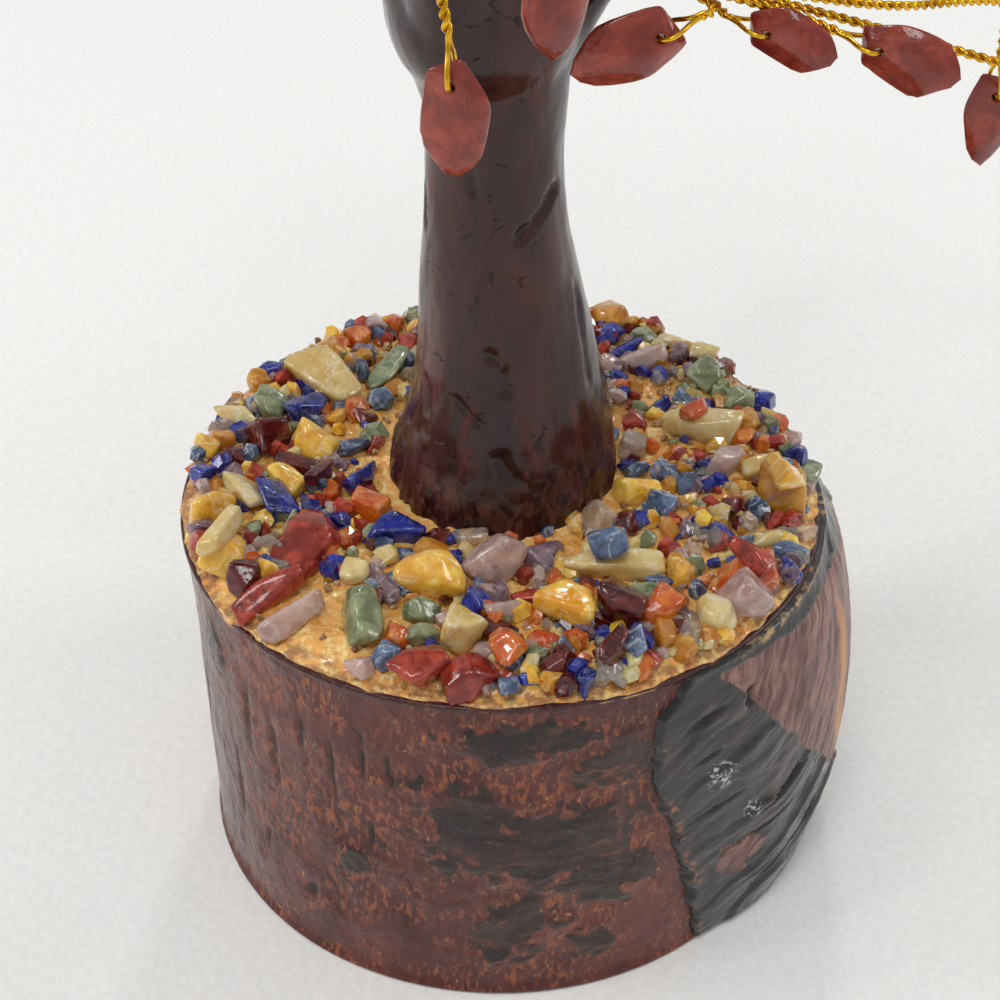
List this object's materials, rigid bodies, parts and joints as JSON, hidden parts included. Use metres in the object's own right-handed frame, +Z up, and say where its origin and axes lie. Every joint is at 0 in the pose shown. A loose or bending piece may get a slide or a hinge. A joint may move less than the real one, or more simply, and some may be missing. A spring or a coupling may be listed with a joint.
{
  "type": "gemstone tree ornament",
  "caption": "Ornament tree with a lacquered putty trunk on a log slice, glued gemstone chips round its foot, and drilled jasper leaves on twisted gold wire, some of which swing.",
  "frame": {"origin": "middle of the log's sawn underside", "axes": "+Z up along the trunk, front of the tree towards -Y, +X to the right seen from the front"},
  "size_m": [0.1704, 0.1576, 0.2148],
  "materials": {
    "lacquered_wood": "lacquered, streaked brown",
    "bark": "lacquered, furrowed",
    "sawdust_glue": "rough, wet-looking",
    "putty": "glossy lacquer",
    "gold_wire": "bright",
    "leaf_jasper": "polished",
    "lapis": "polished",
    "sodalite": "polished",
    "red_jasper": "polished",
    "carnelian": "polished",
    "yellow_jasper": "polished",
    "citrine": "polished",
    "moonstone": "polished",
    "aventurine": "polished",
    "rose_quartz": "polished",
    "amethyst": "polished",
    "clear_quartz": "polished",
    "garnet": "polished"
  },
  "bodies": {
    "tree": {"amethyst_chips": "amethyst", "armature_core": "gold_wire", "aventurine_chips": "aventurine", "base_log": "lacquered_wood", "branch_01_leaves": "leaf_jasper", "branch_01_wires": "gold_wire", "branch_02_leaves": "leaf_jasper", "branch_02_wires": "gold_wire", "branch_03_leaves": "leaf_jasper", "branch_03_wires": "gold_wire", "branch_04_leaves": "leaf_jasper", "branch_04_wires": "gold_wire", "branch_05_leaves": "leaf_jasper", "branch_05_wires": "gold_wire", "branch_06_leaves": "leaf_jasper", "branch_06_wires": "gold_wire", "branch_07_leaves": "leaf_jasper", "branch_07_wires": "gold_wire", "branch_08_leaves": "leaf_jasper", "branch_08_wires": "gold_wire", "branch_09_leaves": "leaf_jasper", "branch_09_wires": "gold_wire", "branch_10_leaves": "leaf_jasper", "branch_10_wires": "gold_wire", "branch_11_leaves": "leaf_jasper", "branch_11_wires": "gold_wire", "branch_12_leaves": "leaf_jasper", "branch_12_wires": "gold_wire", "carnelian_chips": "carnelian", "citrine_chips": "citrine", "clear_quartz_chips": "clear_quartz", "garnet_chips": "garnet", "glue_bed": "sawdust_glue", "lapis_chips": "lapis", "moonstone_chips": "moonstone", "outer_bark": "bark", "red_jasper_chips": "red_jasper", "rose_quartz_chips": "rose_quartz", "sodalite_chips": "sodalite", "trunk": "putty", "yellow_jasper_chips": "yellow_jasper"},
    "hanging_leaf_01": {"hanging_leaf_01": "leaf_jasper"},
    "hanging_leaf_02": {"hanging_leaf_02": "leaf_jasper"},
    "hanging_leaf_03": {"hanging_leaf_03": "leaf_jasper"},
    "hanging_leaf_04": {"hanging_leaf_04": "leaf_jasper"},
    "hanging_leaf_05": {"hanging_leaf_05": "leaf_jasper"},
    "hanging_leaf_06": {"hanging_leaf_06": "leaf_jasper"},
    "hanging_leaf_07": {"hanging_leaf_07": "leaf_jasper"},
    "hanging_leaf_08": {"hanging_leaf_08": "leaf_jasper"},
    "hanging_leaf_09": {"hanging_leaf_09": "leaf_jasper"},
    "hanging_leaf_10": {"hanging_leaf_10": "leaf_jasper"},
    "hanging_leaf_11": {"hanging_leaf_11": "leaf_jasper"},
    "hanging_leaf_12": {"hanging_leaf_12": "leaf_jasper"},
    "hanging_leaf_13": {"hanging_leaf_13": "leaf_jasper"},
    "hanging_leaf_14": {"hanging_leaf_14": "leaf_jasper"},
    "hanging_leaf_15": {"hanging_leaf_15": "leaf_jasper"},
    "hanging_leaf_16": {"hanging_leaf_16": "leaf_jasper"},
    "hanging_leaf_17": {"hanging_leaf_17": "leaf_jasper"}
  },
  "joints": [
    {"name": "hanging_leaf_01_swing", "type": "hinge", "parent": "tree", "child": "hanging_leaf_01", "pos_m": [0.05043, -0.01199, 0.10404], "axis": [0.0306, -0.9995, 0], "range_deg": [-35, 35]},
    {"name": "hanging_leaf_02_swing", "type": "hinge", "parent": "tree", "child": "hanging_leaf_02", "pos_m": [0.05292, 0.01314, 0.08917], "axis": [-0.0918, 0.9958, 0], "range_deg": [-35, 35]},
    {"name": "hanging_leaf_03_swing", "type": "hinge", "parent": "tree", "child": "hanging_leaf_03", "pos_m": [0.04039, 0.05636, 0.10822], "axis": [-0.8517, -0.5241, 0], "range_deg": [-35, 35]},
    {"name": "hanging_leaf_04_swing", "type": "hinge", "parent": "tree", "child": "hanging_leaf_04", "pos_m": [0.0544, 0.0386, 0.12467], "axis": [0.818, 0.5753, 0], "range_deg": [-35, 35]},
    {"name": "hanging_leaf_05_swing", "type": "hinge", "parent": "tree", "child": "hanging_leaf_05", "pos_m": [0.02977, 0.05508, 0.13459], "axis": [-0.699, -0.7152, 0], "range_deg": [-35, 35]},
    {"name": "hanging_leaf_06_swing", "type": "hinge", "parent": "tree", "child": "hanging_leaf_06", "pos_m": [-0.03692, 0.06386, 0.1066], "axis": [0.5564, 0.8309, 0], "range_deg": [-35, 35]},
    {"name": "hanging_leaf_07_swing", "type": "hinge", "parent": "tree", "child": "hanging_leaf_07", "pos_m": [-0.01896, 0.06611, 0.1066], "axis": [0.8476, -0.5307, 0], "range_deg": [-35, 35]},
    {"name": "hanging_leaf_08_swing", "type": "hinge", "parent": "tree", "child": "hanging_leaf_08", "pos_m": [-0.05266, 0.03163, 0.12925], "axis": [-0.9303, 0.3668, 0], "range_deg": [-35, 35]},
    {"name": "hanging_leaf_09_swing", "type": "hinge", "parent": "tree", "child": "hanging_leaf_09", "pos_m": [-0.06509, -0.00671, 0.11846], "axis": [-0.1603, -0.9871, 0], "range_deg": [-35, 35]},
    {"name": "hanging_leaf_10_swing", "type": "hinge", "parent": "tree", "child": "hanging_leaf_10", "pos_m": [-0.06422, 0.01256, 0.13942], "axis": [0.0996, 0.995, 0], "range_deg": [-35, 35]},
    {"name": "hanging_leaf_11_swing", "type": "hinge", "parent": "tree", "child": "hanging_leaf_11", "pos_m": [-0.04381, -0.03318, 0.1524], "axis": [0.9986, 0.0535, 0], "range_deg": [-35, 35]},
    {"name": "hanging_leaf_12_swing", "type": "hinge", "parent": "tree", "child": "hanging_leaf_12", "pos_m": [-0.05058, -0.00783, 0.16198], "axis": [-0.9934, -0.1146, 0], "range_deg": [-35, 35]},
    {"name": "hanging_leaf_13_swing", "type": "hinge", "parent": "tree", "child": "hanging_leaf_13", "pos_m": [0.00007, -0.03802, 0.1552], "axis": [0.2053, -0.9787, 0], "range_deg": [-35, 35]},
    {"name": "hanging_leaf_14_swing", "type": "hinge", "parent": "tree", "child": "hanging_leaf_14", "pos_m": [-0.00399, -0.02794, 0.10998], "axis": [-0.1361, -0.9878, -0.0752], "range_deg": [-35, 35]},
    {"name": "hanging_leaf_15_swing", "type": "hinge", "parent": "tree", "child": "hanging_leaf_15", "pos_m": [0.02857, -0.02423, 0.15444], "axis": [0.9126, 0.4089, 0], "range_deg": [-35, 35]},
    {"name": "hanging_leaf_16_swing", "type": "hinge", "parent": "tree", "child": "hanging_leaf_16", "pos_m": [0.0048, -0.02505, 0.11917], "axis": [0.2227, -0.9733, -0.0556], "range_deg": [-35, 35]},
    {"name": "hanging_leaf_17_swing", "type": "hinge", "parent": "tree", "child": "hanging_leaf_17", "pos_m": [0.0096, 0.03245, 0.17], "axis": [0.8089, -0.5879, 0], "range_deg": [-35, 35]}
  ]
}
